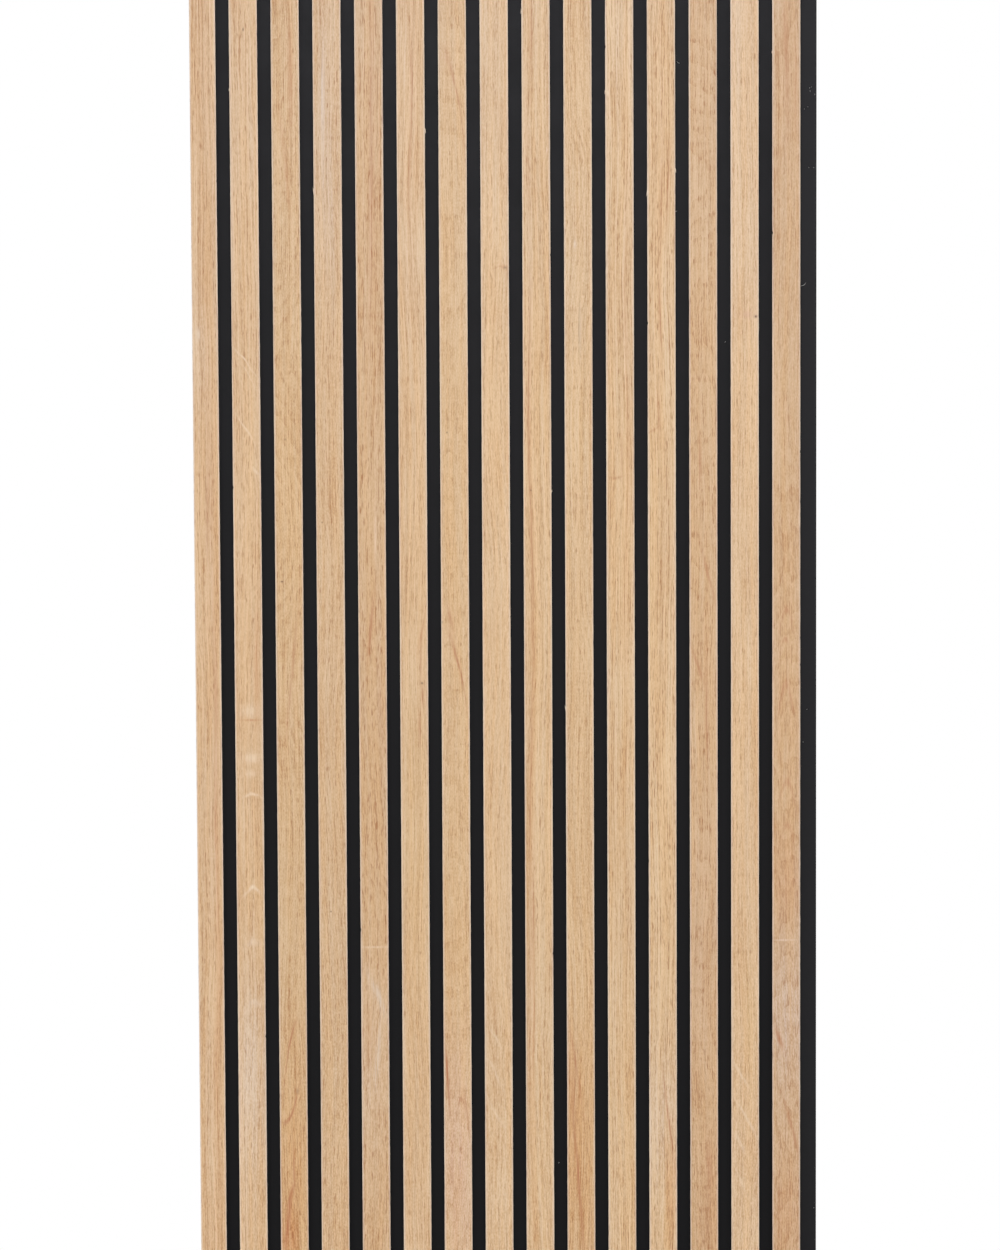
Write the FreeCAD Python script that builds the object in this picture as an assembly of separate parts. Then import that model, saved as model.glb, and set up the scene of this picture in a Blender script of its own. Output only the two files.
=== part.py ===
import FreeCAD, Part
import os

# Acoustic slat wall panel. Fifteen upright slats of veneered fibreboard stand side by side on
# one board of black felt, and wire staples driven in from behind hold them there.
# The frame: millimetres, +Z up, +X to the right as seen from the front, and the front faces -Y.
# The origin is on the back face, which lies against the wall, at mid width and mid height.

# The slats and the felt
panel_height = 2400.0
slat_count = 15
slat_width = 27.0
slat_gap = 13.0
felt_thickness = 9.0
core_thickness = 11.4
veneer_thickness = 0.6
# The long front edges of each veneer are broken with fine sandpaper
arris_radius = 0.3
# The first slat is trimmed flush with the left edge of the felt
first_slat_width = 25.0
# Bare felt to the right of the last slat, which the next panel's first slat completes
joint_strip = 16.5

# The staples, one in each slat in each row
staple_rows = 6
staple_end_distance = 75.0
staple_crown = 12.8
staple_leg = 16.0
staple_wire_width = 0.95
staple_wire_thickness = 0.65
staple_shoulder = 0.5
# How far the crown is pulled into the felt, below the back face
staple_sink = 0.5
# Play between the wire and the slot that it has made
staple_clearance = 0.05

# Sizes that follow from those above
slat_pitch = slat_width + slat_gap
panel_width = first_slat_width + (slat_count - 1) * slat_pitch + joint_strip
left_edge = -panel_width / 2
bottom_edge = -panel_height / 2
core_back = -felt_thickness
veneer_back = core_back - core_thickness
veneer_front = veneer_back - veneer_thickness
row_spacing = (panel_height - 2 * staple_end_distance) / (staple_rows - 1)


def slat_span(index):
    """The left side and the width of a slat, counted from 0 at the left edge."""
    if index == 0:
        return left_edge, first_slat_width
    return left_edge + first_slat_width + slat_gap + (index - 1) * slat_pitch, slat_width


def upright_board(left, width, back, thickness):
    """A board as high as the panel, whose back face is at the given depth."""
    corner = FreeCAD.Vector(left, back - thickness, bottom_edge)
    return Part.makeBox(width, thickness, panel_height, corner)


def lies_on_long_front_edge(edge):
    """True for an edge that runs the whole height at the front of a veneer."""
    box = edge.BoundBox
    return box.ZLength > panel_height / 2 and abs(box.YMax - veneer_front) < arris_radius / 10


def staple_shape(centre_x, centre_z, crown_back, play):
    """A square-legged wire staple seen from above as a U, with its crown towards the wall.

    With play added all round and its crown moved out behind the panel, the same shape is
    the slot that the staple fills.
    """
    half = staple_crown / 2 + play
    inner = staple_crown / 2 - staple_wire_thickness - play
    throat = -staple_sink - staple_wire_thickness - play
    tip = -staple_sink - staple_leg - play
    right_half = [
        (inner, throat),
        (inner, tip),
        (half, tip),
        (half, crown_back - staple_shoulder),
        (half - staple_shoulder, crown_back),
    ]
    left_half = [(-x, y) for x, y in reversed(right_half)]
    low = centre_z - staple_wire_width / 2 - play
    points = [FreeCAD.Vector(centre_x + x, y, low) for x, y in right_half + left_half]
    outline = Part.Face(Part.makePolygon(points + points[:1]))
    return outline.extrude(FreeCAD.Vector(0, 0, staple_wire_width + 2 * play))


def staple_places():
    """The centre of every staple, slat by slat, as (slat index, x, z)."""
    places = []
    for index in range(slat_count):
        left, width = slat_span(index)
        for row in range(staple_rows):
            height = bottom_edge + staple_end_distance + row * row_spacing
            places.append((index, left + width / 2, height))
    return places


def staple(x, z):
    """The wire itself, with its crown sunk into the felt."""
    return staple_shape(x, z, -staple_sink, 0)


def staple_slot(x, z):
    """The space round the wire, open at the back face."""
    return staple_shape(x, z, 2 * staple_shoulder, staple_clearance)


def felt_backing():
    """The felt board, with a slot for every staple."""
    board = upright_board(left_edge, panel_width, 0, felt_thickness)
    slots = [staple_slot(x, z) for _, x, z in staple_places()]
    return board.cut(Part.makeCompound(slots))


def slat_core(index):
    """The black fibreboard core of one slat, with the blind ends of its staples' slots."""
    left, width = slat_span(index)
    board = upright_board(left, width, core_back, core_thickness)
    slots = [staple_slot(x, z) for owner, x, z in staple_places() if owner == index]
    return board.cut(Part.makeCompound(slots))


def veneer(index):
    """The oak face of one slat, with its two long front edges eased."""
    left, width = slat_span(index)
    sheet = upright_board(left, width, veneer_back, veneer_thickness)
    edges = [edge for edge in sheet.Edges if lies_on_long_front_edge(edge)]
    return sheet.makeFillet(arris_radius, edges)


def save(name, shape):
    """One file for each piece, under the piece's name."""
    shape.exportStep("parts/" + name + ".step")
    print(name, "solids", len(shape.Solids), "volume", round(shape.Volume, 3))


os.makedirs("parts", exist_ok=True)
print("panel width", panel_width, "depth", -veneer_front, "staple row spacing", row_spacing)
save("felt_backing", felt_backing())
for index in range(slat_count):
    number = "%02d" % (index + 1)
    save("slat_core_" + number, slat_core(index))
    save("veneer_" + number, veneer(index))
save("staples", Part.makeCompound([staple(x, z) for _, x, z in staple_places()]))
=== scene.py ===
# %% [markdown]
# # An acoustic slat wall panel, dressed for its photograph
# The real panel is fifteen strips of black fibreboard with a thin oak veneer on their faces,
# stapled from behind to one board of black felt. The solids come ready made and in place.
# This lesson gives them their finish: oak whose grain differs from slat to slat, sawn
# fibreboard, needled felt with a little lint on it, and bright staples in the back.

# %% Load the frame
import math

import bpy
import numpy as np
from mathutils import Matrix, Vector


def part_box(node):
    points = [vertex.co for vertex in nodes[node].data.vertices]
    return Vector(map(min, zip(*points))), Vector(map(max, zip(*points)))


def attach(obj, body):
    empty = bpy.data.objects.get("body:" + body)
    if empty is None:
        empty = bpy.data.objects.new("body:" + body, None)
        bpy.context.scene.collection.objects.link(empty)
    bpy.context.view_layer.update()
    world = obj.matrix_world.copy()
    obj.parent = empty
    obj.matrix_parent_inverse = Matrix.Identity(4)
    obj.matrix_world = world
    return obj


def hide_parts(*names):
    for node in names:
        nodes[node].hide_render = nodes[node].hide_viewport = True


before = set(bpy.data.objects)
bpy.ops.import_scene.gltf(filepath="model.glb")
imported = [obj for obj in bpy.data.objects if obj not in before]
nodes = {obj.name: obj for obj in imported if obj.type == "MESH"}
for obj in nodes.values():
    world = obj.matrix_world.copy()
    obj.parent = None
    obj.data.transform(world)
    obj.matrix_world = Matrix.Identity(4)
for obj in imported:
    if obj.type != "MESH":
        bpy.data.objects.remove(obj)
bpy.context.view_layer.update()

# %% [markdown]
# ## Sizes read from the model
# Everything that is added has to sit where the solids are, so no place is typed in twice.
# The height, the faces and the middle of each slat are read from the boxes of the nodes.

MM = 0.001
slat_numbers = [int(name[-2:]) for name in sorted(nodes) if name.startswith("veneer_")]
felt_low, felt_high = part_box("felt_backing")
bottom, top = felt_low[2], felt_high[2]
felt_front = felt_low[1]
veneer_low, veneer_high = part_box("veneer_02")
face_y = veneer_low[1]
print("slats", len(slat_numbers), "height", round(top - bottom, 3), "face at y", round(face_y, 4))

# %% [markdown]
# ## Two small helpers
# Colours are easiest to read off a screen as hex values, which hold gamma-coded numbers,
# while the shader works in linear light. One function turns the one into the other.
# Node trees get long when each node takes four lines, so a second function adds a node,
# sets it up and links it in a single call. A link is given as the node that feeds it.

# %% Helpers
def linear(hex_colour):
    """A hex colour such as #d9b691 as linear red, green, blue and full alpha."""
    coded = [int(hex_colour[i:i + 2], 16) / 255 for i in (1, 3, 5)]
    return (*[c / 12.92 if c <= 0.04045 else ((c + 0.055) / 1.055) ** 2.4 for c in coded], 1.0)


def socket(sockets, key):
    """A socket by number, or the first one in use that has the name."""
    if isinstance(key, int):
        return sockets[key]
    return next(s for s in sockets if s.enabled and s.name == key)


def add(tree, kind, inputs=(), **settings):
    """One node. Its kind is Blender's own name for it, or in capitals what a Math node does.

    The inputs are values in order, or values by name. A value may be a number or a colour,
    a node, or a node together with the name of its output.
    """
    if kind.isupper():
        kind, settings = "ShaderNodeMath", {"operation": kind, **settings}
    node = tree.nodes.new(kind)
    for name, value in settings.items():
        setattr(node, name, value)
    by_key = inputs if isinstance(inputs, dict) else dict(enumerate(inputs))
    for key, value in by_key.items():
        if isinstance(value, bpy.types.Node):
            value = next(s for s in value.outputs if s.enabled)
        elif isinstance(value, tuple) and isinstance(value[0], bpy.types.Node):
            value = socket(value[0].outputs, value[1])
        target = socket(node.inputs, key)
        if isinstance(value, bpy.types.NodeSocket):
            tree.links.new(value, target)
        else:
            target.default_value = value
    return node


print("linear mid grey", [round(c, 3) for c in linear("#808080")])

# %% [markdown]
# ## The camera
# The photograph looks almost straight at the panel from well back with a long lens, a little
# from above, so the top of the panel is slightly nearer and wider. The lens and the tilt
# follow from how the slats' spacing shrinks from the top of the picture to the bottom.
# A hair of roll makes the slats lean as they do there.

# %% Camera
CAMERA_DISTANCE = 3.5
CAMERA_LENS = 104.3
LOOKS_DOWN = math.radians(3.53)
ROLL = math.radians(-0.276)
looks_at = Vector((-5.95 * MM, face_y, 0.0))
backwards = Vector((0.0, -math.cos(LOOKS_DOWN), math.sin(LOOKS_DOWN)))
camera_data = bpy.data.cameras.new("camera")
camera_data.lens = CAMERA_LENS
camera = bpy.data.objects.new("camera", camera_data)
turned = backwards.to_track_quat("Z", "Y").to_matrix().to_4x4() @ Matrix.Rotation(ROLL, 4, "Z")
camera.matrix_world = Matrix.Translation(looks_at + backwards * CAMERA_DISTANCE) @ turned
bpy.context.scene.collection.objects.link(camera)
bpy.context.scene.camera = camera
print("camera at", [round(c, 3) for c in camera.matrix_world.translation])

# %% [markdown]
# ## Light and floor
# A panel like this is photographed against white between two large soft boxes, with one
# more lamp above. The side boxes light the oak evenly and reach little of the felt, which is
# why the gaps stay black. The lamp above gives the felt its faint sheen near the top.
# The world is dim as a light but shows white to the camera and in reflections, so the
# background is white without lighting up the wood. The floor fades to the same white.

# %% Lamps, world and floor
WORLD_LIGHT = 0.09
SIDE_LIGHT = 12.5
TOP_LIGHT = 28.4
BACK_LIGHT = 150.0
SIDE_SPREAD = 90
FLOOR_HALF = 2.4


def soft_box(name, place, aim, width, height, power, spread=180):
    """A lamp of that width and height, in metres and watts, turned to face a point."""
    data = bpy.data.lights.new(name, "AREA")
    data.shape = "RECTANGLE"
    data.size = width
    data.size_y = height
    data.energy = power
    data.spread = math.radians(spread)
    lamp = bpy.data.objects.new(name, data)
    facing = (Vector(place) - Vector(aim)).to_track_quat("Z", "Y").to_matrix().to_4x4()
    lamp.matrix_world = Matrix.Translation(place) @ facing
    bpy.context.scene.collection.objects.link(lamp)
    return lamp


soft_box("left_box", (-2.8, -1.75, -0.6), (0, 0, 0), 1.4, 1.4, SIDE_LIGHT, SIDE_SPREAD)
soft_box("right_box", (2.8, -1.75, -0.6), (0, 0, 0), 1.4, 1.4, SIDE_LIGHT, SIDE_SPREAD)
soft_box("top_lamp", (0.0, -2.1, 1.4), (0, 0, 0.1), 0.35, 1.8, TOP_LIGHT)
soft_box("back_box", (-2.3, 1.9, 1.5), (0, 0, 0), 1.2, 1.2, BACK_LIGHT)

def background_shows(tree):
    """1 for a ray from the camera, a shiny surface or a clear one, and 0 for any other."""
    path = add(tree, "ShaderNodeLightPath")
    mirrored = add(tree, "MAXIMUM", ((path, "Is Glossy Ray"), (path, "Is Transmission Ray")))
    return add(tree, "MAXIMUM", ((path, "Is Camera Ray"), mirrored))


world = bpy.data.worlds.new("studio")
bpy.context.scene.world = world
world.use_nodes = True
world.node_tree.nodes.clear()
dim = add(world.node_tree, "ShaderNodeBackground", {"Color": (1, 1, 1, 1), "Strength": WORLD_LIGHT})
white = add(world.node_tree, "ShaderNodeBackground", {"Color": (1, 1, 1, 1), "Strength": 1.0})
either = add(world.node_tree, "ShaderNodeMixShader", {0: background_shows(world.node_tree), 1: dim, 2: white})
add(world.node_tree, "ShaderNodeOutputWorld", {"Surface": either})

floor_mesh = bpy.data.meshes.new("floor")
corners = [(-1, -1), (1, -1), (1, 1), (-1, 1)]
floor_mesh.from_pydata([(x * FLOOR_HALF, y * FLOOR_HALF, bottom) for x, y in corners], [], [(0, 1, 2, 3)])
floor = bpy.data.objects.new("floor", floor_mesh)
bpy.context.scene.collection.objects.link(floor)
paper = bpy.data.materials.new("matt_background_paper")
paper.use_nodes = True
paper.node_tree.nodes.clear()
tree = paper.node_tree
from_middle = add(tree, "ShaderNodeVectorMath", {0: (add(tree, "ShaderNodeTexCoord"), "Object")},
                  operation="MULTIPLY")
from_middle.inputs[1].default_value = (1, 1, 0)
distance = add(tree, "ShaderNodeVectorMath", {0: from_middle}, operation="LENGTH")
fade = add(tree, "ShaderNodeMapRange", {"Value": (distance, "Value"), "From Min": FLOOR_HALF * 0.45,
                                        "From Max": FLOOR_HALF * 0.98},
           interpolation_type="SMOOTHSTEP")
shown = add(tree, "MULTIPLY", (fade, background_shows(tree)))
matt = add(tree, "ShaderNodeBsdfDiffuse", {"Color": linear("#e9e8e6")})
glow = add(tree, "ShaderNodeEmission", {"Color": (1, 1, 1, 1), "Strength": 1.0})
mixed = add(tree, "ShaderNodeMixShader", {0: shown, 1: matt, 2: glow})
add(tree, "ShaderNodeOutputMaterial", {"Surface": mixed})
floor_mesh.materials.append(paper)
bpy.context.scene.view_settings.view_transform = "Standard"

# %% [markdown]
# ## Oak veneer
# The veneer is oak, sliced thin, glued to the fibreboard and finished with a matt lacquer.
# A slice shows the log's growth rings: nearly straight lines where it was cut near the
# quarter, and pointed arches where it was cut flat. Each ring starts with a row of open
# pores, which show as short dark dashes, and runs out into smooth, paler wood. Medullary
# rays show as pale flecks across the grain on a quartered face.
#
# A picture of wood would repeat and blur up close, so the grain is worked out in the shader
# from a model of the log. Each slat has its own place in the log, tone and marks.

# %% The slats' own figures
# For each slat: its tone, the distance from the pith sideways and in depth (mm), the ring
# spacing (mm), how strong the rings, the pores, the broad streaks and the fibres are, and
# the share of the fibres that run on for a long way.
FIGURES = {
    1: ("#d6b38c", -160, 20, 3.2, 0.9, 1.0, 2.2, 0.95, 0.60),
    2: ("#d7b48c", 190, 30, 3.6, 0.5, 0.9, 1.1, 0.90, 0.55),
    3: ("#d2af85", -14, 34, 4.6, 0.9, 1.0, 0.7, 1.25, 0.50),
    4: ("#d3b18a", 120, 60, 2.8, 0.6, 1.0, 0.7, 1.05, 0.48),
    5: ("#cfab83", 30, 46, 3.8, 0.8, 1.2, 0.9, 0.95, 0.50),
    6: ("#d7b58e", -60, 40, 4.4, 0.7, 0.8, 1.2, 0.90, 0.58),
    7: ("#d6b389", -6, 52, 5.6, 0.7, 0.8, 0.3, 0.95, 0.42),
    8: ("#dab890", 90, 50, 4.2, 0.4, 0.7, 0.6, 0.70, 0.38),
    9: ("#d8b68d", -70, 30, 3.4, 0.7, 0.9, 1.9, 0.85, 0.52),
    10: ("#d6b48b", 44, 38, 3.6, 0.8, 0.9, 1.8, 1.15, 0.50),
    11: ("#d9b78e", -150, 20, 2.6, 0.8, 1.0, 1.1, 1.10, 0.65),
    12: ("#dab88f", 140, 20, 2.7, 0.8, 1.1, 1.2, 0.95, 0.62),
    13: ("#d1ad85", -10, 60, 4.8, 0.8, 1.2, 0.9, 1.10, 0.57),
    14: ("#dcba93", 110, 40, 3.4, 0.4, 0.8, 1.0, 0.85, 0.45),
    15: ("#cfab84", 4, 40, 5.4, 1.1, 0.85, 0.5, 0.85, 0.35),
}
PORE = "#a3683c"
REDDISH = "#c2875d"
RUSTY = "#b67852"
ORANGE = "#cd9d69"
FLECK = "#ecd6bb"
GREYISH = "#e2d0bd"
KNOT = "#6e4429"
# Marks on a face: slat, across and height of the middle (mm), half width and half height (mm),
# how far it leans and bows (mm), colour and strength.
MARKS = [
    (1, 5.0, -130, 1.6, 250, 0, 0, REDDISH, 0.40),
    (1, 6.0, -420, 4.0, 150, 0, 0, REDDISH, 0.15),
    (1, 0.6, 120, 1.4, 90, 0, 0, RUSTY, 0.35),
    (1, -2.0, 250, 10.0, 60, 0, 0, GREYISH, 0.25),
    (1, -6.7, 281, 2.0, 6.0, 0, 0, GREYISH, 0.50),
    (2, 0.2, 572, 0.6, 1.6, 0, 0, KNOT, 0.90),
    (2, -0.8, 258, 9.5, 1.3, -12, -2, FLECK, 0.50),
    (2, 3.5, 243, 6.5, 1.2, -12, -3, FLECK, 0.40),
    (2, -1.3, 188, 8.5, 1.3, -12, 0, FLECK, 0.45),
    (2, 8.9, 154, 3.5, 2.4, -3, 0, FLECK, 0.45),
    (2, 2.8, -91, 9.0, 1.1, 0, 0, REDDISH, 0.65),
    (2, 1.0, -82, 8.0, 6.0, 0, 0, FLECK, 0.45),
    (2, 2.5, -128, 8.0, 4.5, 0, 0, FLECK, 0.60),
    (2, 1.4, -143, 5.0, 3.5, 0, 0, FLECK, 0.45),
    (2, 2.2, -160, 8.0, 1.6, 0, -4, FLECK, 0.65),
    (2, 2.3, -256, 8.0, 1.8, 0, -6, FLECK, 0.65),
    (2, 1.8, -304, 7.0, 4.0, 0, -3, FLECK, 0.40),
    (2, 2.2, -371, 7.0, 3.0, 0, -5, FLECK, 0.35),
    (2, 0.0, -440, 16.0, 85, 0, 0, GREYISH, 0.40),
    (2, 7.0, -40, 1.5, 50, 0, 0, REDDISH, 0.50),
    (3, 4.7, 530, 2.6, 50, 0, 0, REDDISH, 0.45),
    (3, -1.0, 448, 5.0, 18, -45, 0, REDDISH, 0.35),
    (3, -2.9, 180, 0.8, 0.8, 0, 0, KNOT, 0.50),
    (3, -7.0, 43, 1.2, 0.8, 0, 0, KNOT, 0.90),
    (3, 0.0, -530, 16.0, 110, 0, 0, ORANGE, 0.60),
    (3, 1.5, -50, 6.5, 12, 62, 0, RUSTY, 0.45),
    (3, -4.0, -413, 6.0, 4.0, 32, -8, RUSTY, 1.00),
    (3, -2.0, -474, 7.0, 3.0, 17, 7, RUSTY, 1.00),
    (3, 3.9, -454, 1.4, 3.0, 0, 0, KNOT, 0.35),
    (3, 0.3, -530, 0.8, 20, 0, 0, RUSTY, 0.70),
    (3, -3.0, -556, 4.0, 4.0, 14, 0, RUSTY, 0.80),
    (3, -5.5, -577, 4.5, 12.0, 30, 0, RUSTY, 0.80),
    (3, -6.0, -605, 8.0, 30.0, 0, 0, "#c88a5a", 0.40),
    (4, -3.6, 500, 1.5, 60, 0, 0, GREYISH, 0.60),
    (4, 1.0, 430, 9.0, 170, 0, 0, "#cdb096", 0.30),
    (4, -7.9, 100, 0.7, 0.7, 0, 0, KNOT, 0.60),
    (4, -2.2, -278, 0.8, 0.8, 0, 0, KNOT, 0.70),
    (5, -1.0, 450, 2.2, 160, 0, 0, RUSTY, 0.40),
    (5, -12.9, 14, 0.7, 1.4, 0, 0, KNOT, 0.60),
    (5, 3.1, 85, 1.4, 24, 0, 0, FLECK, 0.50),
    (5, -1.0, 0, 3.5, 12, 27, 0, RUSTY, 0.60),
    (5, 8.0, -80, 2.6, 45, 0, 0, RUSTY, 0.22),
    (5, 0.0, -430, 16.0, 80, 0, 0, GREYISH, 0.25),
    (5, 0.3, -313, 12.0, 1.0, 0, 0, FLECK, 0.45),
    (5, 2.0, -362, 9.0, 8.0, -21, 0, GREYISH, 0.55),
    (5, -6.0, -395, 5.0, 30.0, 0, 0, "#c69a6e", 0.40),
    (5, 2.5, -418, 5.0, 16.0, 30, 0, GREYISH, 0.45),
    (6, 0.0, 470, 1.0, 120, 0, 0, RUSTY, 0.45),
    (6, 1.2, 531, 2.0, 12, -30, 0, RUSTY, 0.45),
    (6, 7.0, -10, 3.5, 5, 14, 0, REDDISH, 0.50),
    (6, 8.2, -68, 1.0, 9, 0, 0, RUSTY, 0.70),
    (6, 5.0, -100, 0.9, 17, 0, 0, RUSTY, 0.70),
    (6, 0.0, -200, 16.0, 160, 0, 0, "#dcb983", 0.30),
    (6, 7.6, -36, 1.0, 22, 0, 0, RUSTY, 0.50),
    (6, 7.6, -56, 0.9, 1.0, 0, 0, KNOT, 0.85),
    (7, 2.0, 525, 10.0, 6.0, -49, -26, RUSTY, 0.55),
    (7, 3.0, -36, 8.0, 5.0, -36, -12, RUSTY, 0.75),
    (7, -4.5, 6, 3.0, 9.0, -9, 0, RUSTY, 0.60),
    (7, -6.9, 186, 0.7, 0.9, 0, 0, KNOT, 0.70),
    (7, -12.7, 3, 0.8, 1.2, 0, 0, KNOT, 0.60),
    (7, 0.0, -530, 16.0, 120, 0, 0, "#dbb7a0", 0.50),
    (7, -9.8, -442, 2.2, 15.0, -30, 0, RUSTY, 0.80),
    (7, 3.0, -462, 5.0, 3.0, 0, -22, RUSTY, 0.65),
    (7, 9.0, -480, 3.0, 7, -25, 0, RUSTY, 0.60),
    (8, 8.5, 344, 4.0, 2.6, 2, 0, REDDISH, 0.45),
    (8, 10.0, 344, 1.5, 1.1, 0, 0, KNOT, 0.45),
    (8, 3.0, 343, 5.0, 0.9, -1, 0, RUSTY, 0.35),
    (8, -4.0, -398, 7.0, 2.5, -14, 0, FLECK, 0.30),
    (8, -4.0, -435, 9.0, 3.0, -16, 0, FLECK, 0.36),
    (8, -3.0, -478, 9.0, 3.0, -18, 0, FLECK, 0.34),
    (9, -2.4, 575, 1.5, 35, 0, 0, RUSTY, 0.35),
    (9, -6.2, -250, 2.0, 380, 0, 0, REDDISH, 0.25),
    (9, -2.5, -350, 1.0, 110, 0, 0, REDDISH, 0.55),
    (9, -6.5, 180, 1.5, 260, 0, 0, RUSTY, 0.40),
    (9, 10.5, 456, 0.8, 3.0, 0, 0, FLECK, 0.60),
    (9, -6.2, 130, 0.7, 0.8, 0, 0, KNOT, 0.70),
    (10, -2.9, 366, 1.2, 3.5, 0, 0, GREYISH, 0.60),
    (10, 1.6, 285, 2.0, 26, 0, 0, "#c4ab92", 0.45),
    (10, 0.0, -520, 16.0, 110, 0, 0, ORANGE, 0.75),
    (10, -5.0, -430, 6.0, 7.0, -36, 0, RUSTY, 0.60),
    (10, -9.0, -450, 5.0, 40.0, -20, 0, RUSTY, 0.35),
    (10, -2.5, -545, 4.5, 16.0, -55, 0, RUSTY, 0.80),
    (11, -10.8, 510, 0.9, 3.0, 0, 0, FLECK, 0.60),
    (11, 6.0, 250, 1.5, 280, 0, 0, REDDISH, 0.25),
    (11, -3.3, 142, 5.0, 1.4, 1, 0, RUSTY, 0.55),
    (11, 1.6, 165, 1.0, 20, 0, 0, RUSTY, 0.45),
    (12, -0.5, 430, 1.4, 120, 0, 0, RUSTY, 0.30),
    (12, 5.5, 415, 0.9, 40, 0, 0, RUSTY, 0.45),
    (12, -0.5, 298, 1.1, 32, 0, 0, RUSTY, 0.60),
    (12, -4.6, 205, 1.0, 24, 0, 0, RUSTY, 0.50),
    (12, -8.0, 190, 6.0, 1.4, 3, 0, RUSTY, 0.55),
    (12, 0.0, -480, 16.0, 60, 0, 0, GREYISH, 0.30),
    (12, 6.0, -490, 6.0, 7.0, -50, 0, RUSTY, 0.75),
    (12, 8.0, -560, 6.0, 70.0, 0, 0, "#d3a06c", 0.45),
    (13, -3.2, 157, 1.2, 24, 0, 0, RUSTY, 0.55),
    (13, 3.0, -80, 1.3, 60, 0, 0, RUSTY, 0.45),
    (13, 4.8, 48, 8.0, 6, -31, 0, RUSTY, 0.50),
    (13, -5.0, -42, 6.5, 5, -19, 0, RUSTY, 0.50),
    (13, 0.0, -330, 16.0, 120, 0, 0, "#c9a58a", 0.28),
    (13, 4.0, -575, 9.0, 55, 0, 0, RUSTY, 0.20),
    (13, 5.0, -528, 3.0, 22.0, -8, 0, RUSTY, 0.45),
    (14, 3.5, 298, 7.0, 3.5, 0, 0, "#d3a98e", 0.50),
    (14, 10.7, 296, 1.6, 1.3, 0, 0, "#6e2f20", 0.95),
    (14, -4.0, -438, 7.0, 2.5, -12, 0, FLECK, 0.48),
    (14, 5.0, -380, 6.0, 60.0, 0, 0, "#d9b27a", 0.35),
    (14, 1.0, -483, 11.0, 2.5, -20, 0, FLECK, 0.50),
    (14, -5.5, -507, 5.5, 2.5, -9, 0, FLECK, 0.46),
    (14, -4.0, -545, 6.0, 2.5, -12, 0, FLECK, 0.32),
    (15, -2.0, 548, 2.5, 60, 0, 0, RUSTY, 0.40),
    (15, 6.5, 520, 1.6, 50, 0, 0, REDDISH, 0.45),
    (15, 0.5, 13, 8.0, 4.0, 0, -25, RUSTY, 0.45),
    (15, -1.0, -15, 4.0, 3.0, 0, -8, RUSTY, 0.50),
    (15, 0.0, -57, 9.0, 5.0, 0, -40, RUSTY, 0.55),
    (15, 1.0, -151, 9.0, 4.0, 0, -30, RUSTY, 0.50),
    (15, 1.0, -196, 6.0, 4.0, 0, -15, RUSTY, 0.40),
    (15, -1.3, -308, 12.0, 1.0, 0, 0, FLECK, 0.45),
    (15, 0.0, -385, 16.0, 75, 0, 0, "#d5bca8", 0.55),
    (15, -6.5, -405, 3.5, 5.5, -9, 0, RUSTY, 0.90),
    (15, 5.5, -490, 6.5, 6.0, -24, 0, RUSTY, 0.60),
    (15, 0.0, -255, 14.0, 45.0, 0, 0, "#c8936a", 0.35),
    (15, 0.0, -580, 16.0, 70, 0, 0, "#c8946e", 0.30),
]
print("figures", len(FIGURES), "marks", len(MARKS))

# %% [markdown]
# ### The veneer's material
# The place on the slat is first turned into millimetres from its middle. Slow noise bends
# the grain from side to side, then the distance from the pith, divided by the ring spacing,
# gives the rings. Everything else follows that bent grain: a slow drift between straw and
# pinkish wood, fibres of three lengths that lighten and darken it, and the pores.
# Oak pores are 0.2 to 0.3 mm wide, too fine for the picture, so they are drawn 1 mm wide.

# %% Veneer material
FIBRE_WIDTH = 0.72
FIBRE_LENGTHS = (2.2, 11.0, 240.0, 80.0)
PORE_WIDTH = 0.55
PORE_LENGTH = 7.5
STREAK_WIDTH = 4.6
STREAK_LENGTH = 480.0
# Width (mm) of the painted highlight along the long edges of each slat
EDGE_HIGHLIGHT = 1.8
HEIGHT_TINTS = ((200, 620, (0.982, 1.0, 1.06, 1.0)), (-350, -650, (1.055, 1.045, 1.03, 1.0)))
WASH_WIDTH = 5.5
WASH_HEIGHT = 15


def stretched_noise(tree, across, up, width, length, seed, detail=0.0):
    """Noise whose grains are about width by length, in millimetres, and whose mean is 0."""
    place = add(tree, "ShaderNodeCombineXYZ", {
        "X": add(tree, "DIVIDE", (across, width)),
        "Y": add(tree, "DIVIDE", (up, length)),
        "Z": seed,
    })
    noise = add(tree, "ShaderNodeTexNoise", {"Vector": place, "Scale": 1.0, "Detail": detail})
    return add(tree, "SUBTRACT", (noise, 0.5))


def height_range(tree, up, start, end, first, last):
    """A number that goes from the first value to the last between two heights (mm)."""
    return add(tree, "ShaderNodeMapRange", {
        "Value": up, "From Min": start, "From Max": end, "To Min": first, "To Max": last,
    })


def mark_mask(tree, across, up, mark):
    """1 in the middle of a mark, falling to 0 at its outline."""
    _, middle, height, half_width, half_height, lean, bow, _, _ = mark
    share = add(tree, "DIVIDE", (add(tree, "SUBTRACT", (across, middle)), half_width))
    square = add(tree, "MULTIPLY", (share, share))
    centre = add(tree, "MULTIPLY_ADD", (square, bow, add(tree, "MULTIPLY_ADD", (share, lean, height))))
    rise = add(tree, "DIVIDE", (add(tree, "SUBTRACT", (up, centre)), half_height))
    whole = add(tree, "MULTIPLY_ADD", (rise, rise, square))
    return add(tree, "EXPONENT", (add(tree, "MULTIPLY", (whole, -1.0)),))


def tinted(colour, factors):
    """A linear colour with each channel multiplied."""
    return (*[c * f for c, f in zip(colour, factors)], 1.0)


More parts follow.
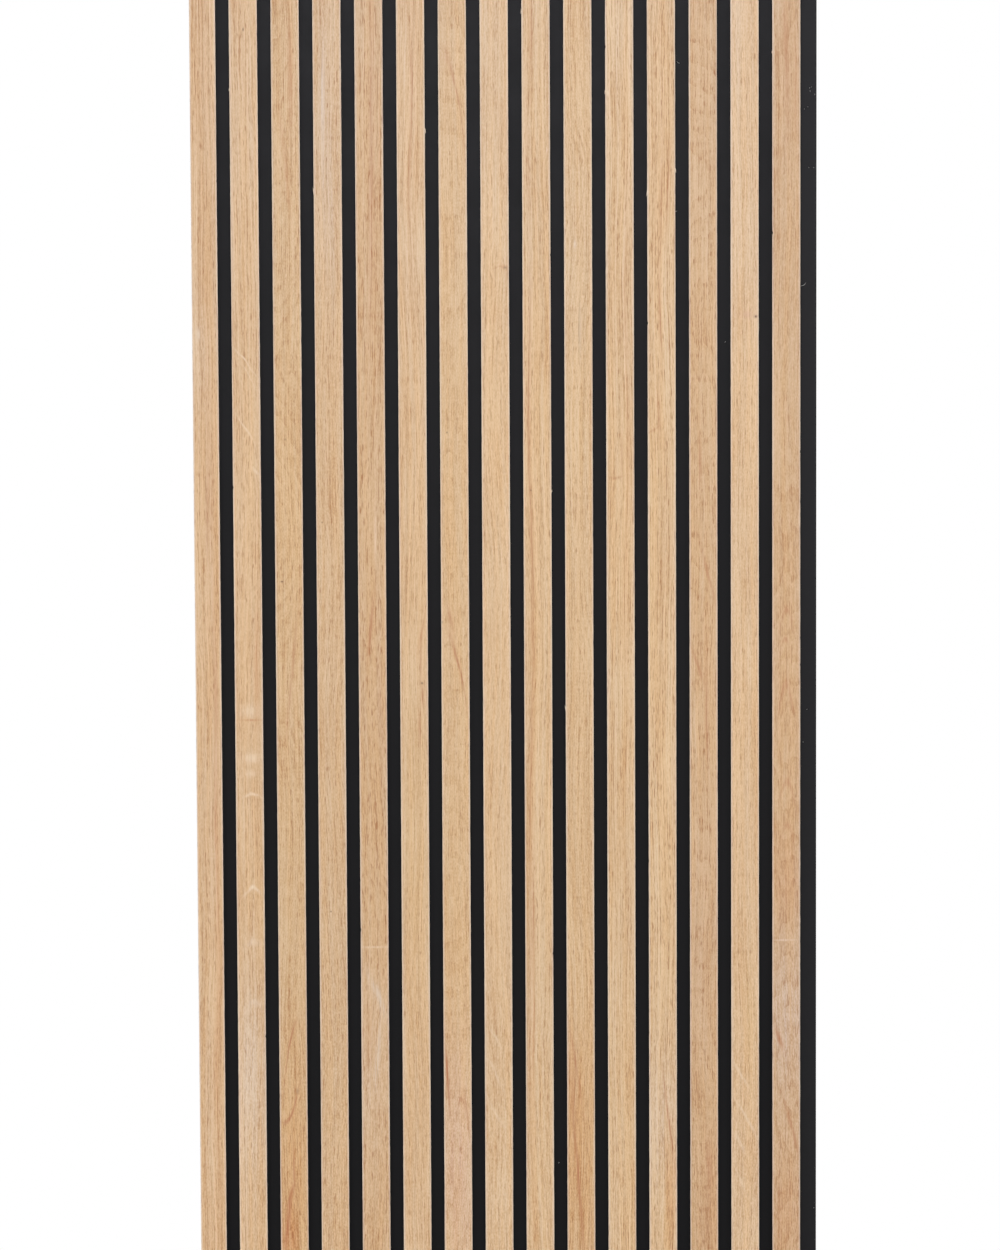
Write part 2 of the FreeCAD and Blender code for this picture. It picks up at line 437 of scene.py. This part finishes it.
def grain_ramp(tree, amount, colour):
    """The colour where the amount is 0, paler to one side of it and browner to the other."""
    ramp = add(tree, "ShaderNodeValToRGB", {"Fac": add(tree, "MULTIPLY_ADD", (amount, 0.5, 0.4))})
    stops = ramp.color_ramp.elements
    stops[0].position = 0.0
    stops[0].color = tinted(colour, (1.12, 1.20, 1.33))
    stops[1].position = 1.0
    stops[1].color = tinted(colour, (0.75, 0.575, 0.405))
    stops.new(0.4).color = colour
    return ramp


def oak_veneer(number):
    """Matt-lacquered sliced oak: satin at most, since the open pores break up any gloss."""
    tone, pith_side, pith_depth, spacing, rings, pores, streaks, fibres, long_share = FIGURES[number]
    low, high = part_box("veneer_%02d" % number)
    middle = (low[0] + high[0]) / 2 / MM
    half = (high[0] - low[0]) / 2 / MM
    seed = number * 7.3
    material = bpy.data.materials.new("oak_veneer_sliced_matt_lacquer_%02d" % number)
    material.use_nodes = True
    tree = material.node_tree
    tree.nodes.clear()

    # Millimetres from the slat's middle
    local = add(tree, "ShaderNodeMapping", {
        "Vector": (add(tree, "ShaderNodeTexCoord"), "Object"),
        "Scale": (1 / MM, 1 / MM, 1 / MM),
        "Location": (-middle, 0, 0),
    })
    apart = add(tree, "ShaderNodeSeparateXYZ", {0: local})
    across = socket(apart.outputs, "X")
    up = socket(apart.outputs, "Z")

    # The grain wanders from side to side
    slow = stretched_noise(tree, 0.0, up, 1.0, 260.0, seed)
    quick = stretched_noise(tree, across, up, 18.0, 55.0, seed + 1, 1.0)
    wander = add(tree, "MULTIPLY_ADD", (slow, 14.0, add(tree, "MULTIPLY", (quick, 2.4))))
    grain = add(tree, "ADD", (across, wander))

    # Rings about the pith, whose depth below the face changes along the log
    sideways = add(tree, "SUBTRACT", (grain, float(pith_side)))
    depth = add(tree, "MULTIPLY_ADD", (stretched_noise(tree, 0.0, up, 1.0, 170.0, seed + 2), 70.0, float(pith_depth)))
    squares = add(tree, "MULTIPLY_ADD", (sideways, sideways, add(tree, "MULTIPLY", (depth, depth))))
    uneven = stretched_noise(tree, grain, up, 9.0, 900.0, seed + 3, 1.0)
    phase = add(tree, "MULTIPLY_ADD", (uneven, 1.4, add(tree, "DIVIDE", (add(tree, "SQRT", (squares,)), spacing))))
    late = add(tree, "FRACT", (phase,))
    early = add(tree, "POWER", (add(tree, "SUBTRACT", (1.0, late)), 2.0))

    # Fibres and streaks, whose sum is the amount of brown
    brown = add(tree, "MULTIPLY_ADD", (early, 0.32 * rings, -0.11 * rings))
    streak = stretched_noise(tree, grain, up, STREAK_WIDTH, STREAK_LENGTH, seed + 4, 1.0)
    brown = add(tree, "MULTIPLY_ADD", (streak, 0.9 * streaks, brown))
    cloud = stretched_noise(tree, across, up, 20.0, 90.0, seed + 5, 1.0)
    brown = add(tree, "MULTIPLY_ADD", (cloud, 0.7, brown))
    crisp = height_range(tree, up, 200, 550, 1.0, 1.3)
    # Painted shade: the short fibres get more contrast towards the foot, standing in for the pores' shadows, which
    # show more strongly low on the panel
    pore_shadow_gain = height_range(tree, up, -200, -550, 1.25, 1.9)
    for index, length in enumerate(FIBRE_LENGTHS):
        fibre = stretched_noise(tree, grain, up, FIBRE_WIDTH, length, seed + 6 + index)
        gain, share = (crisp, long_share) if length > 50 else (pore_shadow_gain, 1 - long_share)
        amount = add(tree, "MULTIPLY", (gain, 1.9 * fibres * share))
        brown = add(tree, "MULTIPLY_ADD", (fibre, amount, brown))

    # Patches of warmer and of greyer wood
    patch = stretched_noise(tree, grain, up, 5.0, 220.0, seed + 10, 1.0)
    grey = add(tree, "ShaderNodeMapRange", {"Value": patch, "From Min": -0.15, "From Max": 0.15})
    warm_ramp = grain_ramp(tree, brown, tinted(linear(tone), (1.018, 1.0, 0.965)))
    grey_ramp = grain_ramp(tree, brown, tinted(linear(tone), (0.982, 1.0, 1.04)))
    colour = add(tree, "ShaderNodeMix", {"Factor": grey, "A": warm_ramp, "B": grey_ramp}, data_type="RGBA")

    # Pores, denser at the start of each ring and in line with the longest fibres
    dashes = stretched_noise(tree, grain, up, PORE_WIDTH, PORE_LENGTH, seed + 11)
    wanted = add(tree, "MULTIPLY_ADD", (early, -0.13, 0.19))
    wanted = add(tree, "MULTIPLY_ADD", (fibre, -0.6, wanted))
    pore = add(tree, "ShaderNodeMapRange", {
        "Value": dashes, "From Min": wanted, "From Max": add(tree, "ADD", (wanted, 0.14)),
    })
    pore_amount = add(tree, "MULTIPLY", (pore, 0.62 * pores))
    colour = add(tree, "ShaderNodeMix", {"Factor": pore_amount, "A": colour, "B": linear(PORE)},
                 data_type="RGBA")

    # The marks of this slat, broken up by the fibres, and wavy where they lean or bow
    wavy = add(tree, "MULTIPLY_ADD", (quick, 22.0, up))
    broken = add(tree, "MULTIPLY_ADD", (fibre, 2.2, 1.0))
    for mark in MARKS:
        if mark[0] == number:
            lies_along = mark[4] > 20 * mark[3]
            leans = mark[5] or mark[6]
            mask = mark_mask(tree, grain if lies_along else across, wavy if leans else up, mark)
            grip = 1.0 if mark[7] == KNOT else broken
            amount = add(tree, "MULTIPLY", (mask, add(tree, "MULTIPLY", (grip, mark[8]))))
            wide = mark[3] > WASH_WIDTH and mark[4] > WASH_HEIGHT
            paint = tinted(linear(mark[7]), [1 / c for c in linear(tone)[:3]]) if wide else linear(mark[7])
            colour = add(tree, "ShaderNodeMix", {"Factor": amount, "A": colour, "B": paint},
                         data_type="RGBA", blend_type="MULTIPLY" if wide else "MIX")

    # The wood is a little cooler towards the top and paler towards the foot
    for start, end, tint in HEIGHT_TINTS:
        share = height_range(tree, up, start, end, 0.0, 1.0)
        colour = add(tree, "ShaderNodeMix", {"Factor": share, "A": colour, "B": tint},
                     data_type="RGBA", blend_type="MULTIPLY")

    # A painted highlight: the long edges are painted paler, where they catch the light
    edge = add(tree, "ShaderNodeMapRange", {
        "Value": add(tree, "ABSOLUTE", (across,)), "From Min": half - EDGE_HIGHLIGHT, "From Max": half - 0.3,
        "To Max": 0.42,
    })
    colour = add(tree, "ShaderNodeMix", {"Factor": edge, "A": colour, "B": linear("#e9e0d9")}, data_type="RGBA")

    roughness = add(tree, "MULTIPLY_ADD", (pore, 0.16, 0.50))
    height = add(tree, "MULTIPLY_ADD", (pore, -1.0, add(tree, "MULTIPLY", (fibre, 0.35))))
    bump = add(tree, "ShaderNodeBump", {"Height": height, "Strength": 0.35, "Distance": 0.12 * MM})
    surface = add(tree, "ShaderNodeBsdfPrincipled", {
        "Base Color": colour, "Roughness": roughness, "IOR": 1.5, "Normal": bump,
    })
    add(tree, "ShaderNodeOutputMaterial", {"Surface": surface})
    return material


# %% [markdown]
# ## The veneer strips
# A veneer strip is a long thin bar whose front edges have been eased with sandpaper, and
# whose edges chip here and there where the saw has torn the oak. The section is drawn once
# for each slat, and a Geometry Nodes tree sweeps it up the slat and nibbles at the edges, so
# that the wear is real shape and not paint. The strip never leaves the space of its solid.

# %% The sweep and its chips
ROW_STEP = 2.0 * MM
ARRIS = 0.3 * MM
CHIP_DEPTH = 0.9 * MM
CHIP_LENGTH = 3.0 * MM


def new_tree(name, sockets):
    """An empty Geometry Nodes tree with a geometry in and out, and the named inputs."""
    tree = bpy.data.node_groups.new(name, "GeometryNodeTree")
    tree.interface.new_socket("Geometry", in_out="INPUT", socket_type="NodeSocketGeometry")
    tree.interface.new_socket("Geometry", in_out="OUTPUT", socket_type="NodeSocketGeometry")
    for label, kind in sockets.items():
        tree.interface.new_socket(label, in_out="INPUT", socket_type="NodeSocket" + kind)
    return tree, add(tree, "NodeGroupInput")


def end_tree(tree, geometry, given):
    """Closes a tree as the export needs it: real geometry with its material set."""
    real = add(tree, "GeometryNodeRealizeInstances", {"Geometry": geometry})
    painted = add(tree, "GeometryNodeSetMaterial", {"Geometry": real, "Material": (given, "Material")})
    add(tree, "NodeGroupOutput", {"Geometry": painted})


def grow(name, mesh, tree, values):
    """A plain mesh object: the tree's result on a mesh, with the named inputs set."""
    carrier = bpy.data.objects.new(name + "_carrier", mesh)
    bpy.context.scene.collection.objects.link(carrier)
    modifier = carrier.modifiers.new("grow", "NODES")
    modifier.node_group = tree
    for item in tree.interface.items_tree:
        if item.in_out == "INPUT" and item.name in values:
            modifier[item.identifier] = values[item.name]
    evaluated = carrier.evaluated_get(bpy.context.evaluated_depsgraph_get())
    result = bpy.data.meshes.new_from_object(evaluated)
    bpy.data.objects.remove(carrier)
    result.name = name
    result.materials.clear()
    result.materials.append(values["Material"])
    result.polygons.foreach_set("material_index", [0] * len(result.polygons))
    piece = bpy.data.objects.new(name, result)
    bpy.context.scene.collection.objects.link(piece)
    return piece


def strip_tree():
    """Sweeps a section up the slat and takes small chips out of both long edges."""
    tree, given = new_tree("veneer_strip", {
        "Bottom": "Float", "Top": "Float", "Rows": "Int", "Middle": "Float", "Half Width": "Float",
        "Chip Depth": "Float", "Chip Length": "Float", "Seed": "Float", "Material": "Material",
    })
    section = add(tree, "GeometryNodeMeshToCurve", {"Mesh": (given, "Geometry")})
    start = add(tree, "ShaderNodeCombineXYZ", {"Z": (given, "Bottom")})
    end = add(tree, "ShaderNodeCombineXYZ", {"Z": (given, "Top")})
    line = add(tree, "GeometryNodeCurvePrimitiveLine", {"Start": start, "End": end})
    path = add(tree, "GeometryNodeResampleCurve", {"Curve": line, "Count": (given, "Rows")})
    swept = add(tree, "GeometryNodeCurveToMesh", {"Curve": path, "Profile Curve": section, "Fill Caps": True})
    place = add(tree, "ShaderNodeSeparateXYZ", {0: add(tree, "GeometryNodeInputPosition")})
    from_middle = add(tree, "SUBTRACT", ((place, "X"), (given, "Middle")))
    side = add(tree, "SIGN", (from_middle,))
    near_edge = add(tree, "GREATER_THAN", (add(tree, "ABSOLUTE", (from_middle,)),
                          add(tree, "MULTIPLY", ((given, "Half Width"), 0.94))))
    along = add(tree, "DIVIDE", ((place, "Z"), (given, "Chip Length")))
    where = add(tree, "ShaderNodeCombineXYZ", {
        "X": along, "Y": add(tree, "MULTIPLY", (side, 9.0)), "Z": (given, "Seed"),
    })
    torn = add(tree, "ShaderNodeTexNoise", {"Vector": where, "Scale": 1.0, "Detail": 0.0})
    chip = add(tree, "ShaderNodeMapRange", {"Value": torn, "From Min": 0.80, "From Max": 0.90})
    calm = add(tree, "ShaderNodeTexNoise", {"Vector": where, "Scale": 0.22, "Detail": 1.0})
    wave = add(tree, "ShaderNodeMapRange", {"Value": calm, "From Min": 0.45, "From Max": 0.75, "To Max": 0.16})
    bite = add(tree, "MAXIMUM", (chip, wave))
    inwards = add(tree, "MULTIPLY", (add(tree, "MULTIPLY", (side, -1.0)),
                        add(tree, "MULTIPLY", (bite, (given, "Chip Depth")))))
    moved = add(tree, "MULTIPLY", (inwards, near_edge))
    offset = add(tree, "ShaderNodeCombineXYZ", {"X": moved})
    worn = add(tree, "GeometryNodeSetPosition", {"Geometry": swept, "Offset": offset})
    end_tree(tree, worn, given)
    return tree


def section_mesh(low, high):
    """The closed section of a strip, with arcs on the two front corners."""
    steps = [math.radians(a) for a in (0, 30, 60, 90)]
    inset = ARRIS
    left = [(low[0] + inset - inset * math.cos(a), low[1] + inset - inset * math.sin(a)) for a in steps]
    right = [(low[0] + high[0] - x, y) for x, y in reversed(left)]
    face = [(low[0] + (high[0] - low[0]) * share, low[1]) for share in (0.25, 0.5, 0.75)]
    points = [(low[0], high[1])] + left + face + right + [(high[0], high[1])]
    mesh = bpy.data.meshes.new("section")
    edges = [(i, (i + 1) % len(points)) for i in range(len(points))]
    mesh.from_pydata([(x, y, 0) for x, y in points], edges, [])
    return mesh


strip = strip_tree()
for number in slat_numbers:
    node = "veneer_%02d" % number
    low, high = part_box(node)
    piece = grow("oak_face_%02d" % number, section_mesh(low, high), strip, {
        "Bottom": low[2], "Top": high[2], "Rows": round((high[2] - low[2]) / ROW_STEP) + 1,
        "Middle": (low[0] + high[0]) / 2, "Half Width": (high[0] - low[0]) / 2,
        "Chip Depth": CHIP_DEPTH, "Chip Length": CHIP_LENGTH, "Seed": number * 3.7,
        "Material": oak_veneer(number),
    })
    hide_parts(node)
    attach(piece, "root")
print("veneer strips", len(slat_numbers), "faces each", len(piece.data.polygons))

# %% [markdown]
# ## Black fibreboard
# The cores are medium-density fibreboard dyed black right through, ripped on a saw. A sawn
# side is dull and a little furry, with fibres that catch the light as tiny grey flecks, and
# shallow marks across it where the blade has passed. The solids already have the right
# shape, so they only get a material.

# %% Fibreboard material
SAW_MARK = 1.6
FIBRE_FLECK = 0.9


def dress(node, material):
    """Gives a carried-over solid its material."""
    ob = nodes[node]
    if not ob.material_slots:
        ob.data.materials.append(material)
    for place in ob.material_slots:
        place.material = material


def black_fibreboard():
    """Dyed fibreboard, sawn: nearly black, warm against the felt, with no gloss."""
    material = bpy.data.materials.new("black_dyed_mdf_sawn")
    material.use_nodes = True
    tree = material.node_tree
    tree.nodes.clear()
    local = add(tree, "ShaderNodeMapping", {
        "Vector": (add(tree, "ShaderNodeTexCoord"), "Object"), "Scale": (1 / MM, 1 / MM, 1 / MM),
    })
    apart = add(tree, "ShaderNodeSeparateXYZ", {0: local})
    flecks = add(tree, "ShaderNodeTexNoise", {"Vector": local, "Scale": 1 / FIBRE_FLECK, "Detail": 2.0})
    bright = add(tree, "ShaderNodeMapRange", {"Value": flecks, "From Min": 0.56, "From Max": 0.74})
    cloud = add(tree, "ShaderNodeTexNoise", {"Vector": local, "Scale": 1 / 40.0, "Detail": 2.0})
    marks = stretched_noise(tree, (apart, "Y"), (apart, "Z"), 30.0, SAW_MARK, 3.0)
    amount = add(tree, "MULTIPLY_ADD", (bright, 0.5, add(tree, "MULTIPLY", (cloud, 0.4))))
    amount = add(tree, "MULTIPLY_ADD", (marks, 0.3, amount))
    colour = add(tree, "ShaderNodeMix", {"Factor": amount, "A": linear("#171413"), "B": linear("#2f2a28")},
                 data_type="RGBA")
    height = add(tree, "MULTIPLY_ADD", (marks, 1.0, add(tree, "MULTIPLY", (flecks, 0.6))))
    bump = add(tree, "ShaderNodeBump", {"Height": height, "Strength": 0.5, "Distance": 0.15 * MM})
    surface = add(tree, "ShaderNodeBsdfPrincipled", {
        "Base Color": colour, "Roughness": add(tree, "MULTIPLY_ADD", (flecks, 0.2, 0.72)),
        "IOR": 1.5, "Normal": bump,
    })
    surface.inputs["Specular IOR Level"].default_value = 0.3
    add(tree, "ShaderNodeOutputMaterial", {"Surface": surface})
    return material


fibreboard = black_fibreboard()
for number in slat_numbers:
    dress("slat_core_%02d" % number, fibreboard)
print("cores dressed", len(slat_numbers))

# %% [markdown]
# ## Black felt
# The board behind is polyester felt, needled into a firm sheet from fine black fibres. Its
# face is matt with a soft sheen where light grazes it, faintly mottled where the fibres lie
# thicker, and its cut edges show the layers of the web.

# %% Felt material
FELT_FIBRE = 0.8
FELT_LUMP = 6.0
FELT_CLOUD = 40.0
FELT_LAYER = 1.1


def black_felt():
    """Needled polyester felt: dark, soft, with a low broad sheen and no sharp highlight."""
    material = bpy.data.materials.new("black_polyester_felt_needled")
    material.use_nodes = True
    tree = material.node_tree
    tree.nodes.clear()
    local = add(tree, "ShaderNodeMapping", {
        "Vector": (add(tree, "ShaderNodeTexCoord"), "Object"), "Scale": (1 / MM, 1 / MM, 1 / MM),
    })
    fibres = add(tree, "ShaderNodeTexNoise", {
        "Vector": local, "Scale": 1 / FELT_FIBRE, "Detail": 3.0, "Distortion": 1.2,
    })
    lumps = add(tree, "ShaderNodeTexNoise", {"Vector": local, "Scale": 1 / FELT_LUMP, "Detail": 2.0})
    web = add(tree, "ShaderNodeMapping", {
        "Vector": local, "Scale": (1 / FELT_CLOUD, 1 / FELT_LAYER, 1 / FELT_CLOUD),
    })
    layers = add(tree, "ShaderNodeTexNoise", {"Vector": web, "Scale": 1.0, "Detail": 2.0})
    uneven = add(tree, "MULTIPLY_ADD", (lumps, 0.5, add(tree, "MULTIPLY", (layers, 0.5))))
    amount = add(tree, "MULTIPLY_ADD", (uneven, 0.5, add(tree, "MULTIPLY", (fibres, 0.5))))
    colour = add(tree, "ShaderNodeMix", {"Factor": amount, "A": linear("#040404"), "B": linear("#1d1d1d")},
                 data_type="RGBA")
    bump = add(tree, "ShaderNodeBump", {"Height": amount, "Strength": 0.5, "Distance": 0.12 * MM})
    surface = add(tree, "ShaderNodeBsdfPrincipled", {
        "Base Color": colour, "Roughness": add(tree, "MULTIPLY_ADD", (uneven, 0.24, 0.415)),
        "IOR": 1.5, "Specular IOR Level": 0.21, "Specular Tint": linear("#f6f4ff"), "Normal": bump,
    })
    add(tree, "ShaderNodeOutputMaterial", {"Surface": surface})
    return material


dress("felt_backing", black_felt())
print("felt dressed")

# %% [markdown]
# ## Wire staples
# The slats are held by staples shot through the felt from behind. A staple is square-cut
# from a strip of zinc-plated wire, so its section is nearly a rectangle and its two
# shoulders are bent, not sharp. In the nodes a line of four points is folded into the U, its
# shoulders are filleted, and the wire's section is swept along it. One point for each
# staple then carries a copy.

# %% Staples
STAPLE_ROWS = 6
WIRE_WIDTH = 0.95 * MM
WIRE_THICKNESS = 0.65 * MM
SHOULDER = 0.8 * MM
WIRE_CORNER = 0.16 * MM


def points_mesh(name, places, **attributes):
    """A mesh of loose points, each with its own value of every attribute."""
    mesh = bpy.data.meshes.new(name)
    mesh.from_pydata(places, [], [])
    for label, values in attributes.items():
        mesh.attributes.new(label, "FLOAT", "POINT").data.foreach_set("value", values)
    return mesh


def staple_tree():
    """A filleted U of flat wire on every point of the given mesh, opening towards -Y."""
    tree, given = new_tree("wire_staple", {
        "Crown": "Float", "Leg": "Float", "Shoulder": "Float", "Wire Width": "Float",
        "Wire Thickness": "Float", "Wire Corner": "Float", "Material": "Material",
    })
    straight = add(tree, "GeometryNodeCurvePrimitiveLine")
    four = add(tree, "GeometryNodeResampleCurve", {"Curve": straight, "Count": 4})
    index = add(tree, "GeometryNodeInputIndex")
    right = add(tree, "GREATER_THAN", (index, 1.5))
    reach = add(tree, "DIVIDE", (add(tree, "SUBTRACT", ((given, "Crown"), (given, "Wire Thickness"))), 2.0))
    end = add(tree, "GREATER_THAN", (add(tree, "ABSOLUTE", (add(tree, "SUBTRACT", (index, 1.5)),)), 1.0))
    drop = add(tree, "MULTIPLY_ADD", (end, (given, "Leg"), add(tree, "DIVIDE", ((given, "Wire Thickness"), 2.0))))
    corner = add(tree, "ShaderNodeCombineXYZ", {
        "X": add(tree, "MULTIPLY", (add(tree, "MULTIPLY_ADD", (right, 2.0, -1.0)), reach)),
        "Y": add(tree, "MULTIPLY", (drop, -1.0)),
    })
    folded = add(tree, "GeometryNodeSetPosition", {"Geometry": four, "Position": corner})
    bent = add(tree, "GeometryNodeFilletCurve", {
        "Curve": folded, "Radius": (given, "Shoulder"), "Count": 4, "Limit Radius": True,
    }, mode="POLY")
    level = add(tree, "GeometryNodeSetCurveNormal", {"Curve": bent}, mode="Z_UP")
    section = add(tree, "GeometryNodeCurvePrimitiveQuadrilateral", {
        "Width": (given, "Wire Thickness"), "Height": (given, "Wire Width"),
    })
    eased = add(tree, "GeometryNodeFilletCurve", {
        "Curve": section, "Radius": (given, "Wire Corner"), "Count": 2,
    }, mode="POLY")
    wire = add(tree, "GeometryNodeCurveToMesh", {"Curve": level, "Profile Curve": eased, "Fill Caps": True})
    copies = add(tree, "GeometryNodeInstanceOnPoints", {"Points": (given, "Geometry"), "Instance": wire})
    end_tree(tree, copies, given)
    return tree


def zinc_wire():
    """Zinc-plated steel wire: a soft grey metal, duller in patches and drawn lengthways."""
    material = bpy.data.materials.new("zinc_plated_steel_wire_drawn")
    material.use_nodes = True
    tree = material.node_tree
    tree.nodes.clear()
    local = add(tree, "ShaderNodeMapping", {
        "Vector": (add(tree, "ShaderNodeTexCoord"), "Object"), "Scale": (1 / MM, 1 / MM, 1 / MM),
    })
    dull = add(tree, "ShaderNodeTexNoise", {"Vector": local, "Scale": 0.35, "Detail": 3.0})
    apart = add(tree, "ShaderNodeSeparateXYZ", {0: local})
    drawn = stretched_noise(tree, (apart, "Z"), (apart, "X"), 0.12, 6.0, 1.0, 1.0)
    colour = add(tree, "ShaderNodeMix", {"Factor": dull, "A": linear("#c9cbcc"), "B": linear("#989b9e")},
                 data_type="RGBA")
    roughness = add(tree, "MULTIPLY_ADD", (dull, 0.25, add(tree, "MULTIPLY_ADD", (drawn, 0.2, 0.24))))
    bump = add(tree, "ShaderNodeBump", {"Height": drawn, "Strength": 0.4, "Distance": 0.03 * MM})
    surface = add(tree, "ShaderNodeBsdfPrincipled", {
        "Base Color": colour, "Metallic": 1.0, "Roughness": roughness, "Normal": bump,
    })
    add(tree, "ShaderNodeOutputMaterial", {"Surface": surface})
    return material


staples_low, staples_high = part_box("staples")
first_row = staples_low[2] + WIRE_WIDTH / 2
row_step = (staples_high[2] - staples_low[2] - WIRE_WIDTH) / (STAPLE_ROWS - 1)
slat_middles = [sum(c[0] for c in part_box("veneer_%02d" % n)) / 2 for n in slat_numbers]
crown = staples_high[0] - slat_middles[-1] + slat_middles[0] - staples_low[0]
staple_places = [(x, staples_high[1], first_row + row * row_step)
                 for x in slat_middles for row in range(STAPLE_ROWS)]
staples = grow("wire_staples", points_mesh("staple_points", staple_places), staple_tree(), {
    "Crown": crown, "Leg": staples_high[1] - staples_low[1] - WIRE_THICKNESS / 2, "Shoulder": SHOULDER,
    "Wire Width": WIRE_WIDTH, "Wire Thickness": WIRE_THICKNESS, "Wire Corner": WIRE_CORNER,
    "Material": zinc_wire(),
})
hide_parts("staples")
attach(staples, "root")
print("staples", len(staple_places), "crown", round(crown / MM, 2), "mm", "faces", len(staples.data.polygons))

# %% [markdown]
# ## Lint and splinters
# A new panel is never quite clean. Bits of fluff and fine wood dust cling to the black felt
# and show as pale specks, with a hair or two among them, and here and there the saw has left
# a sliver of veneer standing off an edge. They are all short bowed threads, so one tree
# lays such a thread on each point, with the length and the turn that the point carries.

# %% Lint
# Each bit: across and height on the panel (mm), length (mm) and turn from upright (degrees)
HAIRS = [(287.6, 327, 6.5, 60), (168.0, 540, 3.2, 118), (164.9, 398, 3.0, 95), (48.9, -528, 1.6, 40)]
SPECKS = [
    (293.9, 515, 0.7, 20), (295.9, 516, 0.6, 80), (294.6, 512, 0.7, 130), (299.0, 509, 0.9, 100),
    (292.3, 497, 0.7, 70), (289.0, 495, 0.5, 15), (298.0, 439, 0.5, 10),
    (293.3, 439, 0.9, 140), (212.6, 272, 0.7, 30), (291.6, -84, 0.9, 60), (287.8, -116, 0.7, 0),
    (284.8, 193, 0.9, 45), (4.1, -113, 1.1, 90), (298.6, -574, 1.0, 20), (84.7, -320, 1.0, 130),
]
HAIR_THICKNESS = 0.38 * MM
SPECK_THICKNESS = 0.62 * MM
SPLINTER_THICKNESS = 0.6 * MM
STANDS_OFF = 0.3 * MM
# Each splinter: slat, side of it (-1 left, 1 right), height, length (mm) and turn from upright
SPLINTERS = [
    (2, -1, 515, 2.5, 6), (4, -1, 418, 7.0, -5), (9, -1, 588, 5.0, 4), (12, -1, 415, 7.5, 8),
    (11, -1, 511, 4.0, 3), (12, 1, 436, 4.5, -4), (6, 1, 475, 5.5, -6), (9, 1, 129, 3.0, 8),
    (15, -1, 548, 2.5, 5), (10, -1, -81, 5.0, -7),
]


def thread_tree():
    """A bowed thread, 1 long before it is scaled, lying across the view on every point."""
    tree, given = new_tree("bowed_thread", {
        "Thickness": "Float", "Bow": "Float", "Material": "Material",
    })
    arc = add(tree, "GeometryNodeCurveQuadraticBezier", {
        "Resolution": 8, "Start": (0, 0, -0.5), "Middle": add(tree, "ShaderNodeCombineXYZ", {"X": (given, "Bow")}),
        "End": (0, 0, 0.5),
    })
    size = add(tree, "GeometryNodeInputNamedAttribute", {"Name": "size"}, data_type="FLOAT")
    turn = add(tree, "GeometryNodeInputNamedAttribute", {"Name": "turn"}, data_type="FLOAT")
    stretch = add(tree, "ShaderNodeCombineXYZ", {"X": (size, "Attribute"), "Y": 1.0, "Z": (size, "Attribute")})
    lean = add(tree, "ShaderNodeCombineXYZ", {"Y": (turn, "Attribute")})
    laid = add(tree, "GeometryNodeInstanceOnPoints", {
        "Points": (given, "Geometry"), "Instance": arc, "Rotation": lean, "Scale": stretch,
    })
    real = add(tree, "GeometryNodeRealizeInstances", {"Geometry": laid})
    along = add(tree, "GeometryNodeSplineParameter")
    middle = add(tree, "SUBTRACT", (1.0, add(tree, "ABSOLUTE", (add(tree, "MULTIPLY_ADD", (along, 2.0, -1.0)),))))
    taper = add(tree, "ADD", (0.25, add(tree, "MULTIPLY", (add(tree, "SQRT", (middle,)), 0.75))))
    radius = add(tree, "MULTIPLY", (taper, add(tree, "DIVIDE", ((given, "Thickness"), 2.0))))
    ring = add(tree, "GeometryNodeCurvePrimitiveCircle", {"Resolution": 6, "Radius": 1.0})
    tube = add(tree, "GeometryNodeCurveToMesh", {
        "Curve": real, "Profile Curve": ring, "Scale": radius, "Fill Caps": True,
    })
    end_tree(tree, tube, given)
    return tree


def plain_fibre(name, low_colour, high_colour):
    """Loose fibres: matt, and a little uneven in colour from one bit to the next."""
    material = bpy.data.materials.new(name)
    material.use_nodes = True
    tree = material.node_tree
    tree.nodes.clear()
    place = (add(tree, "ShaderNodeTexCoord"), "Object")
    uneven = add(tree, "ShaderNodeTexNoise", {"Vector": place, "Scale": 0.3 / MM})
    colour = add(tree, "ShaderNodeMix", {
        "Factor": uneven, "A": linear(low_colour), "B": linear(high_colour),
    }, data_type="RGBA")
    surface = add(tree, "ShaderNodeBsdfPrincipled", {"Base Color": colour, "Roughness": 0.8, "IOR": 1.5})
    add(tree, "ShaderNodeOutputMaterial", {"Surface": surface})
    return material


def lay_threads(name, places, sizes, turns, thickness, bow, material):
    """A piece of bowed threads at the given places."""
    mesh = points_mesh(name + "_points", places, size=sizes, turn=[math.radians(t) for t in turns])
    piece = grow(name, mesh, threads, {"Thickness": thickness, "Bow": bow, "Material": material})
    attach(piece, "root")
    return piece


threads = thread_tree()
fluff = plain_fibre("grey_fluff_loose", "#c2c1bf", "#f0eee9")
torn_oak = plain_fibre("oak_splinters_torn", "#e4cdb0", "#f4e8d8")
for name, bits, thickness in (("felt_hairs", HAIRS, HAIR_THICKNESS), ("felt_specks", SPECKS, SPECK_THICKNESS)):
    lay_threads(name, [(x * MM, felt_front - thickness / 2, z * MM) for x, z, _, _ in bits],
                [length * MM for _, _, length, _ in bits], [turn for *_, turn in bits],
                thickness, 0.35, fluff)
splinter_places = []
for number, side, height, _, _ in SPLINTERS:
    low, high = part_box("veneer_%02d" % number)
    edge = low[0] if side < 0 else high[0]
    splinter_places.append((edge + side * STANDS_OFF, (low[1] + high[1]) / 2, height * MM))
lay_threads("veneer_splinters", splinter_places, [s[3] * MM for s in SPLINTERS], [s[4] for s in SPLINTERS],
            SPLINTER_THICKNESS, 0.05, torn_oak)
print("hairs", len(HAIRS), "specks", len(SPECKS), "splinters", len(SPLINTERS))
